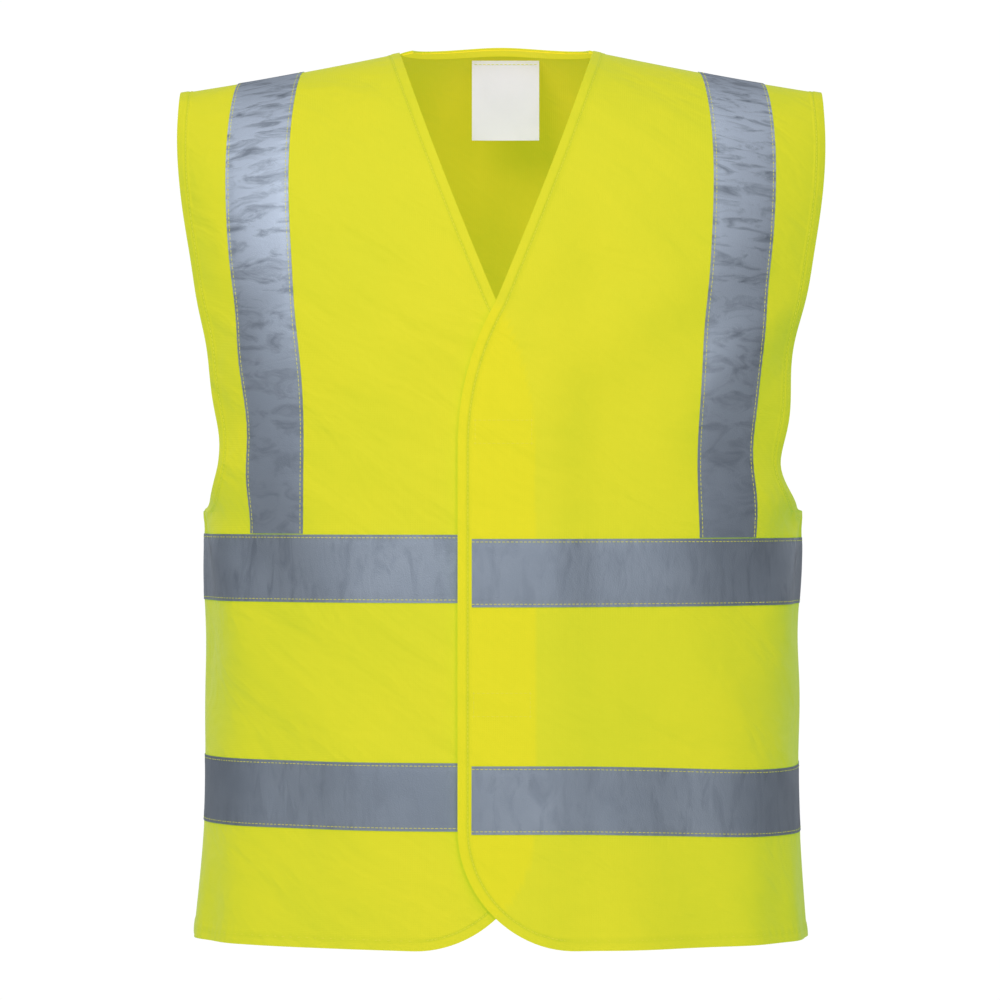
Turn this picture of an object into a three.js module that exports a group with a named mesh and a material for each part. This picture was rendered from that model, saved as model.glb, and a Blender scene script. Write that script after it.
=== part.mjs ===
// High visibility vest in its worn shape: knitted fabric panels, reflective tapes, folded hems, seams, hook and
// loop patches and a neck label. Every piece is a thin closed sheet that follows one torso surface.
// Millimetres, +Z up, wearer facing -Y. The origin is at the middle of the shoulders, where the vest is carried.
import * as THREE from "three";

// Torso surface. Heights are measured up from the bottom hem.
const HEM_HALF_WIDTH = 234;
const CHEST_HALF_WIDTH = 228;
const SHOULDER_HALF_WIDTH = 266;
const HALF_DEPTH = 128;
const SIDE_ROUNDNESS = 0.8;
const FALL_HEIGHT = 420;
const NECK_RIDGE_HEIGHT = 684;
const RIDGE_SLOPE = 0.237;
const RIDGE_CURVE = 0.000194;
const RIDGE_SOFTNESS = 30;
const CARRY_DROP = 29;
const CARRY_HEIGHT = NECK_RIDGE_HEIGHT - CARRY_DROP;

// Openings.
const UNDERARM_HEIGHT = 322;
const ARMHOLE_SCOOP = 40;
const ARMHOLE_ANGLE = 67;
const BACK_NECK_HALF_WIDTH = 67;
const BACK_NECK_DROP = 5;
const V_POINT_HEIGHT = 477;
const V_CURVE = 0.0003;
const FRONT_NECK_HALF_WIDTH = 74;

// Front closure: the over panel (wearer's left) laps the under panel.
const CLOSURE_X = -3.5;
const OVERLAP = 28;
const LAP_BLEND = 110;
const CORNER_WIDTH = 88;
const CORNER_HEIGHT = 90;
const FOLD_X_AT_HEM = 150;
const FOLD_TOP_HEIGHT = 546;
const FOLD_TOP_CLEARANCE = 5;

// Reflective tapes, hems, seams, patches and label.
const TAPE_WIDTH = 50;
const UNDERARM_CLEARANCE = { left: 19.5, right: 16.5, back: 18 };
const LOWER_TAPE_HEIGHT = { left: 86, right: 88, back: 87 };
const BRACE_ANGLE_LOW = 48;
const BRACE_ANGLE_RIDGE = 41.5;
const BRACE_STEP = 0.0499;
const HEM_WIDTH = 9;
const SEAM_WIDTH = 12;
const SEAM_END_CLEARANCE = 3;
const PATCH_LENGTH = 44;
const PATCH_WIDTH = 20;
const PATCH_HEIGHTS = { upper: 381, lower: 181 };
const LABEL_WIDTH = 52;
const LABEL_LENGTH = 62;
const LABEL_THICKNESS = 0.8;
const LABEL_X = 3.5;
const LABEL_SETBACK = 3.4;
const LABEL_CLEARANCE = 1.1;

// Layer thicknesses and the air between layers.
const FABRIC = 0.8;
const TAPE = 0.4;
const HEM = 0.8;
const PATCH = 1;
const LAYER_GAP = 0.7;
const PATCH_GAP = 0.5;
const JOIN_GAP = 0.6;
const LAP_LIFT = FABRIC + PATCH + PATCH + 3 * PATCH_GAP;
const LIFT_FROM_X = 75;
const LIFT_FULL_X = 32;
const LIFT_HEIGHTS = [500, 620];

const FRONT = -1;
const BACK = 1;
const DEGREE = Math.PI / 180;
const TURN_RISE = NECK_RIDGE_HEIGHT - FALL_HEIGHT;
const RIDGE = FALL_HEIGHT + TURN_RISE * (Math.PI / 2);
const upperTapeHeight = (place) => UNDERARM_HEIGHT - UNDERARM_CLEARANCE[place] - TAPE_WIDTH;

// Mesh rows, as shares of the height that each list divides.
const CORNER_ROWS = [0, 0.011, 0.045, 0.11, 0.22, 0.39, 0.67, 1];
const LAP_ROWS = [0.3, 0.57, 0.8, 1];
const SCOOP_ROWS = [0, 0.03, 0.1, 0.2, 0.35, 0.5, 0.75, 1];
const SHOULDER_ROWS = [-0.06, 0.01, 0.09, 0.17, 0.25, 0.33, 0.41, 0.49, 0.57, 0.65, 0.72, 0.79, 0.85, 0.9, 0.94, 0.97];
const LEAST_ROW = 4;

const clamp = (value) => Math.min(1, Math.max(0, value));
const mix = (from, to, share) => from + (to - from) * share;

function smooth(from, to, value) {
  const share = clamp((value - from) / (to - from));
  return share * share * (3 - 2 * share);
}

// v runs up the surface: it is the height below FALL_HEIGHT, and turns with the shoulder above it.
const turnAt = (v) => Math.max(0, (v - FALL_HEIGHT) / TURN_RISE);
const nominalHeight = (v) => (v < FALL_HEIGHT ? v : FALL_HEIGHT + TURN_RISE * Math.sin(turnAt(v)));

function vAtHeight(height) {
  if (height < FALL_HEIGHT) return height;
  return FALL_HEIGHT + TURN_RISE * Math.asin(clamp((height - FALL_HEIGHT) / TURN_RISE));
}

function halfWidth(v) {
  const height = nominalHeight(v);
  const flare = (HEM_HALF_WIDTH - CHEST_HALF_WIDTH) * clamp(1 - height / 250) ** 2;
  const shoulder = SHOULDER_HALF_WIDTH - CHEST_HALF_WIDTH;
  return CHEST_HALF_WIDTH + flare + shoulder * smooth(UNDERARM_HEIGHT, CARRY_HEIGHT, height);
}

function ridgeHeight(x) {
  const out = Math.hypot(x, RIDGE_SOFTNESS) - RIDGE_SOFTNESS;
  return NECK_RIDGE_HEIGHT - RIDGE_SLOPE * out + RIDGE_CURVE * out * out;
}

// A point of the torso surface, at the angle theta from the middle of the front or back.
function surfacePoint(theta, v, side) {
  const x = halfWidth(v) * Math.sin(theta);
  const turn = turnAt(v);
  const z = turn > 0 ? FALL_HEIGHT + (ridgeHeight(x) - FALL_HEIGHT) * Math.sin(turn) : v;
  const c = Math.cos(theta);
  const bulge = Math.sign(c) * Math.abs(c) ** SIDE_ROUNDNESS;
  return new THREE.Vector3(x, side * HALF_DEPTH * bulge * Math.cos(turn), z);
}

function surfaceNormal(theta, v, side) {
  const step = 1e-3;
  const across = surfacePoint(theta + step, v, side).sub(surfacePoint(theta - step, v, side));
  const up = surfacePoint(theta, v + step, side).sub(surfacePoint(theta, v - step, side));
  return across.cross(up).normalize().multiplyScalar(-side);
}

// The change of v that spans a length of cloth over the shoulder ridge, at x.
function turnPerLength(x) {
  const depth = HALF_DEPTH * Math.cos(Math.asin(x / SHOULDER_HALF_WIDTH)) ** SIDE_ROUNDNESS;
  return TURN_RISE / depth;
}

const angleAt = (x, v) => Math.asin(THREE.MathUtils.clamp(x / halfWidth(v), -1, 1));

// The angle that spans a length of cloth across the surface.
function angleFor(length, theta, v, side) {
  const step = 1e-3;
  const ends = [surfacePoint(theta - step, v, side), surfacePoint(theta + step, v, side)];
  return (length * 2 * step) / ends[0].distanceTo(ends[1]);
}

// Outlines. The lap is the distance that a front edge runs past the closure line.
const neckRise = NECK_RIDGE_HEIGHT - V_POINT_HEIGHT;
const neckSlope = FRONT_NECK_HALF_WIDTH / neckRise + V_CURVE * neckRise;

function frontLap(height) {
  if (height < CORNER_HEIGHT) {
    const rise = (CORNER_HEIGHT - height) / CORNER_HEIGHT;
    return OVERLAP - CORNER_WIDTH * (1 - Math.sqrt(1 - rise * rise));
  }
  if (height < V_POINT_HEIGHT - LAP_BLEND) return OVERLAP;
  const above = height - V_POINT_HEIGHT;
  if (above < 0) return OVERLAP * (1 - (1 + above / LAP_BLEND) ** 2.2);
  return -(neckSlope * above - V_CURVE * above * above);
}

const foldX = (height) => mix(FOLD_X_AT_HEM, -frontLap(FOLD_TOP_HEIGHT), height / FOLD_TOP_HEIGHT);

function armholeAngle(v) {
  const below = clamp((UNDERARM_HEIGHT + ARMHOLE_SCOOP - v) / ARMHOLE_SCOOP);
  const scoop = (90 - ARMHOLE_ANGLE) * Math.sqrt(1 - below * below);
  return (v <= UNDERARM_HEIGHT ? 90 : 90 - scoop) * DEGREE;
}

// The over panel stands off the under panel where they lap.
function lapLift(x, v) {
  const near = 1 - smooth(LIFT_FULL_X, LIFT_FROM_X, x);
  return LAP_LIFT * near * (1 - smooth(...LIFT_HEIGHTS, nominalHeight(v)));
}

const vertexAt = (positions, i) => new THREE.Vector3(...positions.slice(3 * i, 3 * i + 3));

// A closed sheet over a grid of surface positions: at(s, t) gives [theta, v], with s and t from 0 to 1.
function sheet({ side, at, along, across, inner, outer, lifted = false }) {
  const positions = [];
  const stations = (steps) => (Array.isArray(steps) ? steps : [...Array(steps + 1).keys()].map((i) => i / steps));
  const rows = stations(along);
  const columns = stations(across);
  for (const offset of [inner, outer])
    for (const s of rows)
      for (const t of columns) {
        const [theta, v] = at(s, t);
        const base = surfacePoint(theta, v, side);
        const lift = lifted ? lapLift(base.x, v) : 0;
        const point = base.addScaledVector(surfaceNormal(theta, v, side), offset + lift);
        positions.push(point.x, point.y, point.z);
      }
  const width = columns.length;
  const layer = rows.length * width;
  const index = [];
  const gap = (a, b) => vertexAt(positions, a).distanceToSquared(vertexAt(positions, b));
  const quad = (a, b, c, d) => {
    if (gap(a, c) <= gap(b, d)) index.push(a, b, c, a, c, d);
    else index.push(b, c, d, b, d, a);
  };
  for (let i = 0; i + 1 < rows.length; i++)
    for (let j = 0; j + 1 < width; j++) {
      const a = i * width + j;
      quad(a, a + width, a + width + 1, a + 1);
      quad(layer + a, layer + a + 1, layer + a + width + 1, layer + a + width);
    }
  for (let j = 0; j + 1 < width; j++) {
    const last = layer - width + j;
    quad(j, j + 1, layer + j + 1, layer + j);
    quad(last + 1, last, layer + last, layer + last + 1);
  }
  for (let i = 0; i + 1 < rows.length; i++) {
    const a = i * width;
    const b = a + width - 1;
    quad(a + width, a, layer + a, layer + a + width);
    quad(b, b + width, layer + b + width, layer + b);
  }
  return facingOut(positions, index);
}

// Turns the faces round if the sheet's grid ran the other way.
function facingOut(positions, index) {
  let volume = 0;
  for (let i = 0; i < index.length; i += 3) {
    const [a, b, c] = index.slice(i, i + 3).map((corner) => vertexAt(positions, corner));
    volume += a.dot(b.cross(c));
  }
  if (volume < 0) index.reverse();
  const geometry = new THREE.BufferGeometry();
  geometry.setAttribute("position", new THREE.Float32BufferAttribute(positions, 3));
  geometry.setIndex(index);
  geometry.computeVertexNormals();
  return geometry;
}

const finish = (color, roughness) =>
  new THREE.MeshStandardMaterial({ color, roughness, metalness: 0, side: THREE.DoubleSide });
const yellowKnit = finish(0xdde02e, 0.85);
const reflective = finish(0x8f9cae, 0.45);
const hookAndLoop = finish(0xd6dc34, 0.95);
const labelWeave = finish(0xe6e8e8, 0.7);

const vest = new THREE.Group();
vest.position.z = -CARRY_HEIGHT;

function add(name, geometry, material) {
  const mesh = new THREE.Mesh(geometry, material);
  mesh.name = name;
  vest.add(mesh);
}

const LAYERS = {
  fabric: { inner: 0, outer: FABRIC },
  hem: { inner: -LAYER_GAP - HEM, outer: -LAYER_GAP },
  tape: { inner: FABRIC + LAYER_GAP, outer: FABRIC + LAYER_GAP + TAPE },
};

// Rows of a panel from one v to another, closer where the armhole scoops and where the shoulder turns.
function panelRows(from, to) {
  const corner = [1 / 3, 2 / 3, 1].map((share) => CORNER_HEIGHT * share);
  const low = [0.3, 0.65].map((share) => mix(CORNER_HEIGHT, UNDERARM_HEIGHT, share));
  const scoop = SCOOP_ROWS.map((share) => UNDERARM_HEIGHT + ARMHOLE_SCOOP * share);
  const high = SHOULDER_ROWS.map((share) => mix(FALL_HEIGHT, RIDGE, share));
  const between = [...corner, ...low, ...scoop, ...high].filter((v) => v > from + LEAST_ROW && v < to - LEAST_ROW);
  return [from, ...between, to].map((v) => (v - from) / (to - from));
}

const joinAngle = JOIN_GAP / 2 / CHEST_HALF_WIDTH;
const sideSeamAngle = (v) => armholeAngle(v) - (v <= UNDERARM_HEIGHT ? joinAngle : 0);

// Fronts. hand is +1 for the wearer's left (over) front and -1 for the right (under) front.
const frontEdgeX = (hand, v) => CLOSURE_X - hand * frontLap(nominalHeight(v));
const foldLineX = (hand, v) => CLOSURE_X + hand * foldX(nominalHeight(v));
const foldTopV = vAtHeight(FOLD_TOP_HEIGHT);
const flapTopV = vAtHeight(FOLD_TOP_HEIGHT - FOLD_TOP_CLEARANCE);

function sidePanel(hand) {
  const topV = RIDGE - JOIN_GAP / 2;
  return sheet({
    side: FRONT,
    along: panelRows(0, topV),
    across: 12,
    ...LAYERS.fabric,
    lifted: hand > 0,
    at: (s, t) => {
      const v = topV * s;
      const innerX = v < foldTopV ? foldLineX(hand, v) + (hand * JOIN_GAP) / 2 : frontEdgeX(hand, v);
      return [mix(angleAt(innerX, v), hand * sideSeamAngle(v), t), v];
    },
  });
}

function frontPanel(hand) {
  const lapLow = V_POINT_HEIGHT - LAP_BLEND;
  const heights = [
    ...CORNER_ROWS.map((share) => CORNER_HEIGHT * share),
    ...[0.25, 0.5, 0.75, 1].map((share) => mix(CORNER_HEIGHT, lapLow, share)),
    ...LAP_ROWS.map((share) => lapLow + LAP_BLEND * share),
    ...[1 / 3, 2 / 3].map((share) => mix(V_POINT_HEIGHT, FOLD_TOP_HEIGHT, share)),
  ];
  return sheet({
    side: FRONT,
    along: [...heights.map((height) => vAtHeight(height) / flapTopV), 1],
    across: 9,
    ...LAYERS.fabric,
    lifted: hand > 0,
    at: (s, t) => {
      const v = flapTopV * s;
      const foldSide = foldLineX(hand, v) - (hand * JOIN_GAP) / 2;
      return [mix(angleAt(frontEdgeX(hand, v), v), angleAt(foldSide, v), t), v];
    },
  });
}

function backPanel() {
  const seamV = RIDGE - JOIN_GAP / 2;
  const columns = [-1, -0.95, -0.9, -0.85, -0.8, -0.75, -0.69, -0.62, -0.53, -0.43, -0.33, -0.25, -0.2, -0.1, 0];
  return sheet({
    side: BACK,
    along: panelRows(0, seamV),
    across: [...columns, ...columns.slice(0, -1).reverse().map((c) => -c)].map((c) => (c + 1) / 2),
    ...LAYERS.fabric,
    at: (s, t) => {
      const share = 2 * t - 1;
      const topX = SHOULDER_HALF_WIDTH * Math.sin(share * ARMHOLE_ANGLE * DEGREE);
      const v = s * mix(seamV, backTopV(topX), smooth(0.7, 1, s));
      return [share * sideSeamAngle(v), v];
    },
  });
}

// Reflective bands. The part of a front band past the fold line belongs to the moving front.
function bandPiece({ side, low, from, to, lifted, across = 12 }) {
  return sheet({
    side,
    along: 1,
    across,
    ...LAYERS.tape,
    lifted,
    at: (s, t) => {
      const v = low + TAPE_WIDTH * s;
      return [mix(from(v), to(v), t), v];
    },
  });
}

function addBands(level, heightAt) {
  const name = `${level}_tape`;
  for (const [label, hand] of [["left", 1], ["right", -1]]) {
    const low = heightAt(label);
    const lifted = hand > 0;
    const shift = (hand * JOIN_GAP) / 2;
    add(
      `${name}_${label}_side`,
      bandPiece({
        side: FRONT,
        low,
        lifted,
        from: (v) => angleAt(foldLineX(hand, v) + shift, v),
        to: () => hand * (Math.PI / 2 - joinAngle),
      }),
      reflective,
    );
    add(
      `${name}_${label}_front`,
      bandPiece({
        side: FRONT,
        low,
        lifted,
        from: (v) => angleAt(CLOSURE_X - hand * (OVERLAP - HEM_WIDTH), v),
        to: (v) => angleAt(foldLineX(hand, v) - shift, v),
      }),
      reflective,
    );
  }
  const edge = Math.PI / 2 - joinAngle;
  add(
    `${name}_back`,
    bandPiece({ side: BACK, low: heightAt("back"), from: () => -edge, to: () => edge, across: 40 }),
    reflective,
  );
}

// A brace runs from the front band over the shoulder to the back band.
function braceTape(hand, frontBand) {
  const lowFront = frontBand + TAPE_WIDTH + JOIN_GAP;
  const lowBack = upperTapeHeight("back") + TAPE_WIDTH + JOIN_GAP;
  const length = RIDGE - lowFront + (RIDGE - lowBack);
  const turnSpan = RIDGE - FALL_HEIGHT;
  const flat = [0, 1 / 3, 2 / 3].map((share) => mix(lowFront, FALL_HEIGHT, share));
  const flatBack = [0, 1 / 3, 2 / 3].map((share) => 2 * RIDGE - mix(lowBack, FALL_HEIGHT, share)).reverse();
  const stations = [...flat, FALL_HEIGHT];
  for (let turn = BRACE_STEP; turn < 2; turn += BRACE_STEP) stations.push(FALL_HEIGHT + turnSpan * turn);
  stations.push(RIDGE + turnSpan, ...flatBack);
  return sheet({
    side: FRONT,
    along: stations.map((v) => (v - lowFront) / length),
    across: 4,
    ...LAYERS.tape,
    at: (s, t) => {
      const run = lowFront + length * s;
      const v = run <= RIDGE ? run : 2 * RIDGE - run;
      const share = clamp((v - lowFront) / (RIDGE - lowFront));
      const middle = mix(BRACE_ANGLE_LOW, BRACE_ANGLE_RIDGE, share) * DEGREE;
      const reach = angleFor(TAPE_WIDTH, middle, v, FRONT) * (t - 0.5);
      return overShoulder(hand * (middle + reach), run);
    },
  });
}

// Past the ridge a position is taken on the far side by turning on, or by its angle below FALL_HEIGHT.
function overShoulder(theta, run) {
  const pastTurn = 2 * RIDGE - FALL_HEIGHT;
  if (run <= pastTurn) return [theta, run];
  return [Math.PI - theta, 2 * RIDGE - run];
}

// A strip of hem inside an edge. edge(s) gives [length across, v] on the laid-out cloth.
function hemStrip({ side, edge, along, inward, lifted }) {
  const step = 1e-3;
  return sheet({
    side,
    along,
    across: 2,
    ...LAYERS.hem,
    lifted,
    at: (s, t) => {
      const before = edge(Math.max(0, s - step));
      const after = edge(Math.min(1, s + step));
      const run = [after[0] - before[0], after[1] - before[1]];
      const scale = (inward * HEM_WIDTH * t) / Math.hypot(...run);
      const here = edge(s);
      const across = here[0] - run[1] * scale;
      return [across / CHEST_HALF_WIDTH, here[1] + run[0] * scale];
    },
  });
}

const clothAcross = (x, v) => angleAt(x, v) * CHEST_HALF_WIDTH;

// The share of a front hem's stations that goes round the corner.
const CORNER_SHARE = 0.4;

// The edge of a front: up the neckline, down the front edge and round the corner to the fold line.
function addFrontHems(label, hand) {
  const lifted = hand > 0;
  const neckTop = RIDGE - (SEAM_WIDTH / 2 + 2 * JOIN_GAP) * turnPerLength(BACK_NECK_HALF_WIDTH);
  const neckLow = foldTopV + JOIN_GAP;
  add(
    `neckline_hem_${label}`,
    hemStrip({
      side: FRONT,
      along: 10,
      inward: -hand,
      lifted,
      edge: (s) => {
        const v = mix(neckLow, neckTop, s);
        return [clothAcross(frontEdgeX(hand, v), v), v];
      },
    }),
    yellowKnit,
  );
  const hemTop = foldTopV - HEM_WIDTH * 2;
  add(
    `front_hem_${label}`,
    hemStrip({
      side: FRONT,
      along: 28,
      inward: -hand,
      lifted,
      edge: (s) => {
        if (s > CORNER_SHARE) {
          const v = mix(CORNER_HEIGHT, hemTop, (s - CORNER_SHARE) / (1 - CORNER_SHARE));
          return [clothAcross(frontEdgeX(hand, v), v), v];
        }
        const around = (s / CORNER_SHARE) * (Math.PI / 2);
        const lap = OVERLAP - CORNER_WIDTH + CORNER_WIDTH * Math.sin(around);
        const v = CORNER_HEIGHT * (1 - Math.cos(around));
        return [clothAcross(CLOSURE_X - hand * lap, v), v];
      },
    }),
    yellowKnit,
  );
  const cornerEnd = CLOSURE_X - hand * (OVERLAP - CORNER_WIDTH - JOIN_GAP);
  const bottomStrip = (from, to) => (s, t) => {
    const v = HEM_WIDTH * t;
    return [mix(from(v), to(v), s), v];
  };
  const fold = (v) => angleAt(foldLineX(hand, v), v);
  const gap = (hand * JOIN_GAP) / CHEST_HALF_WIDTH;
  const strip = { side: FRONT, across: 1, ...LAYERS.hem, lifted };
  add(
    `bottom_hem_${label}_front`,
    sheet({ ...strip, along: 8, at: bottomStrip((v) => angleAt(cornerEnd, v), (v) => fold(v) - gap) }),
    yellowKnit,
  );
  const seamSide = () => hand * (Math.PI / 2) - gap * (SEAM_WIDTH / JOIN_GAP / 2 + 1);
  add(
    `bottom_hem_${label}_side`,
    sheet({ ...strip, along: 10, at: bottomStrip((v) => fold(v) + gap, seamSide) }),
    yellowKnit,
  );
}

// The armhole hem runs from the side seam up the front, over the shoulder and down the back. It has stations
// round the scoop and up to the ridge, which are closer low down.
const SCOOP_STATIONS = 12;
const ARMHOLE_STATIONS = 25;
const SCOOP_START = 0.1;
const STATION_SPREAD = 1.4;

function armholeHem(hand) {
  const edge = (step) => {
    if (step < SCOOP_STATIONS) {
      const around = mix(SCOOP_START, 1, step / SCOOP_STATIONS) * (Math.PI / 2);
      const angle = 90 - (90 - ARMHOLE_ANGLE) * Math.sin(around);
      return [angle * DEGREE, UNDERARM_HEIGHT + ARMHOLE_SCOOP * (1 - Math.cos(around))];
    }
    const share = (step - SCOOP_STATIONS) / (ARMHOLE_STATIONS - SCOOP_STATIONS);
    const rise = 1 - (1 - share) ** STATION_SPREAD;
    return [ARMHOLE_ANGLE * DEGREE, mix(UNDERARM_HEIGHT + ARMHOLE_SCOOP, RIDGE, rise)];
  };
  const inset = (step, t) => {
    const [theta, v] = edge(step);
    if (step >= ARMHOLE_STATIONS) return [theta - angleFor(HEM_WIDTH * t, theta, v, FRONT), v];
    const near = 0.01;
    const [beforeTheta, beforeV] = edge(Math.max(0, step - near));
    const [afterTheta, afterV] = edge(Math.min(ARMHOLE_STATIONS, step + near));
    const run = [(afterTheta - beforeTheta) * CHEST_HALF_WIDTH, afterV - beforeV];
    const scale = (HEM_WIDTH * t) / Math.hypot(...run);
    return [theta - angleFor(run[1] * scale, theta, v, FRONT), v + run[0] * scale];
  };
  return sheet({
    side: FRONT,
    along: 2 * ARMHOLE_STATIONS,
    across: 2,
    ...LAYERS.hem,
    at: (s, t) => {
      const step = s * 2 * ARMHOLE_STATIONS;
      const mirrored = step > ARMHOLE_STATIONS;
      const [theta, v] = inset(mirrored ? 2 * ARMHOLE_STATIONS - step : step, t);
      return overShoulder(hand * theta, mirrored ? 2 * RIDGE - v : v);
    },
  });
}

// Seam allowances lie inside, over the line where two panels meet.
function addSeams(label, hand) {
  const shoulderFrom = BACK_NECK_HALF_WIDTH + HEM_WIDTH + SEAM_END_CLEARANCE;
  const shoulderTo = SHOULDER_HALF_WIDTH * Math.sin(ARMHOLE_ANGLE * DEGREE) - HEM_WIDTH - SEAM_END_CLEARANCE;
  add(
    `shoulder_seam_${label}`,
    sheet({
      side: FRONT,
      along: 10,
      across: 4,
      ...LAYERS.hem,
      at: (s, t) => {
        const x = mix(shoulderFrom, shoulderTo, s);
        return [hand * angleAt(x, RIDGE), RIDGE + SEAM_WIDTH * (t - 0.5) * turnPerLength(x)];
      },
    }),
    yellowKnit,
  );
  add(
    `side_seam_${label}`,
    sheet({
      side: FRONT,
      along: 8,
      across: 4,
      ...LAYERS.hem,
      at: (s, t) => {
        const angle = Math.PI / 2 + (SEAM_WIDTH * (t - 0.5)) / CHEST_HALF_WIDTH;
        return [hand * angle, mix(0, UNDERARM_HEIGHT - JOIN_GAP, s)];
      },
    }),
    yellowKnit,
  );
}

// The upper edge of the back panel at x, which dips at the neck.
function backTopV(x) {
  const neckV = vAtHeight(NECK_RIDGE_HEIGHT - BACK_NECK_DROP);
  const dip = Math.sqrt(clamp(1 - (x / BACK_NECK_HALF_WIDTH) ** 2));
  return mix(RIDGE - JOIN_GAP / 2, neckV, dip);
}

function backNeckHem() {
  const reach = BACK_NECK_HALF_WIDTH - 2 * JOIN_GAP;
  return sheet({
    side: BACK,
    along: 16,
    across: 2,
    ...LAYERS.hem,
    at: (s, t) => {
      const x = reach * (2 * s - 1);
      const edgeV = backTopV(x);
      return [angleAt(x, edgeV), edgeV - (JOIN_GAP + HEM_WIDTH * t) * turnPerLength(x)];
    },
  });
}

function backBottomHem() {
  const edge = Math.PI / 2 - (SEAM_WIDTH / 2 + JOIN_GAP) / CHEST_HALF_WIDTH;
  return sheet({
    side: BACK,
    along: 24,
    across: 1,
    ...LAYERS.hem,
    at: (s, t) => [mix(-edge, edge, s), HEM_WIDTH * t],
  });
}

// Hook patches face inwards on the over front, and loop patches face outwards on the under front.
function addPatches(level, height) {
  const patchFrom = CLOSURE_X - frontLap(height + PATCH_WIDTH / 2) + HEM_WIDTH + 2 * JOIN_GAP;
  const patch = (inner) =>
    sheet({
      side: FRONT,
      along: 2,
      across: 4,
      inner,
      outer: inner + PATCH,
      at: (s, t) => {
        const v = height + PATCH_WIDTH * (s - 0.5);
        return [angleAt(patchFrom + PATCH_LENGTH * t, v), v];
      },
    });
  add(`${level}_loop_patch`, patch(FABRIC + PATCH_GAP), hookAndLoop);
  add(`${level}_hook_patch`, patch(FABRIC + 2 * PATCH_GAP + PATCH), hookAndLoop);
}

// The label hangs plumb from its sewn top edge, whose corners are close to the back panel below its neck hem.
function neckLabel() {
  const cornerX = LABEL_X + LABEL_WIDTH / 2;
  const drop = JOIN_GAP + HEM_WIDTH + LABEL_SETBACK;
  const v = backTopV(cornerX) - drop * turnPerLength(cornerX);
  const corner = surfacePoint(angleAt(cornerX, v), v, BACK);
  const geometry = new THREE.BoxGeometry(LABEL_WIDTH, LABEL_THICKNESS, LABEL_LENGTH);
  geometry.translate(LABEL_X, corner.y - LABEL_CLEARANCE - LABEL_THICKNESS / 2, corner.z - LABEL_LENGTH / 2);
  return geometry;
}

add("back_panel", backPanel(), yellowKnit);
for (const [label, hand] of [["left", 1], ["right", -1]]) {
  add(`${label}_side_panel`, sidePanel(hand), yellowKnit);
  add(`${label}_front_panel`, frontPanel(hand), yellowKnit);
  add(`${label}_brace_tape`, braceTape(hand, upperTapeHeight(label)), reflective);
  add(`${label}_armhole_hem`, armholeHem(hand), yellowKnit);
  addFrontHems(label, hand);
  addSeams(label, hand);
}
addBands("upper", upperTapeHeight);
addBands("lower", (place) => LOWER_TAPE_HEIGHT[place]);
addPatches("upper", PATCH_HEIGHTS.upper);
addPatches("lower", PATCH_HEIGHTS.lower);
add("back_neck_hem", backNeckHem(), yellowKnit);
add("back_bottom_hem", backBottomHem(), yellowKnit);
add("neck_label", neckLabel(), labelWeave);

export default vest;
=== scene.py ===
"""High visibility vest: knitted panels, reflective tapes, hems, seams, stitching, patches and label.

Every piece of cloth is laid on one torso surface, in metres, with height measured up from the bottom hem.
"""

import math

import bpy
import numpy as np
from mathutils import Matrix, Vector
from mathutils.kdtree import KDTree


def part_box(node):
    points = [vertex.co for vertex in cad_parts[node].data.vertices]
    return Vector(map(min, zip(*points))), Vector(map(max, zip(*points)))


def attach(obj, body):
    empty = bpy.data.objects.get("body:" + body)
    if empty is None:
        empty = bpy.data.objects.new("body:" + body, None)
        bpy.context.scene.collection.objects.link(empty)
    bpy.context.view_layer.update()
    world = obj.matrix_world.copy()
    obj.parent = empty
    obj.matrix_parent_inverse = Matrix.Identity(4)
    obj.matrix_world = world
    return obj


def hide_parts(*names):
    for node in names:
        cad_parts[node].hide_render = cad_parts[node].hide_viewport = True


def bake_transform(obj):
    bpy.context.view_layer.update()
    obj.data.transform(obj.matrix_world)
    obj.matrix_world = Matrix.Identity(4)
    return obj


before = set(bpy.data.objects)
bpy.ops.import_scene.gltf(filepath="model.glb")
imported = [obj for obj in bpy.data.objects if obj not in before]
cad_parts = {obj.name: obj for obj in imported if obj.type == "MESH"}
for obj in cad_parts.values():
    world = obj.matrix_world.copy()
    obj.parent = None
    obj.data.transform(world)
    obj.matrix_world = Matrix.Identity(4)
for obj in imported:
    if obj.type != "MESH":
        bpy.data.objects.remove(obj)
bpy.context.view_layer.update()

BODY = "vest_body"
FRONT, BACK = -1, 1
HANDS = {"left": 1, "right": -1}

# Torso surface, as the frame's solids have it.
HEM_HALF_WIDTH = 0.234
CHEST_HALF_WIDTH = 0.228
SHOULDER_HALF_WIDTH = 0.266
HALF_DEPTH = 0.128
SIDE_ROUNDNESS = 0.8
FLARE_HEIGHT = 0.25
FALL_HEIGHT = 0.420
NECK_RIDGE_HEIGHT = 0.684
RIDGE_SLOPE = 0.237
RIDGE_CURVE = 0.194
RIDGE_SOFTNESS = 0.030
CARRY_DROP = 0.029
CARRY_HEIGHT = NECK_RIDGE_HEIGHT - CARRY_DROP
TURN_RISE = NECK_RIDGE_HEIGHT - FALL_HEIGHT
RIDGE = FALL_HEIGHT + TURN_RISE * math.pi / 2
HEM_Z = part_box("side_seam_left")[0][2]

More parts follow.
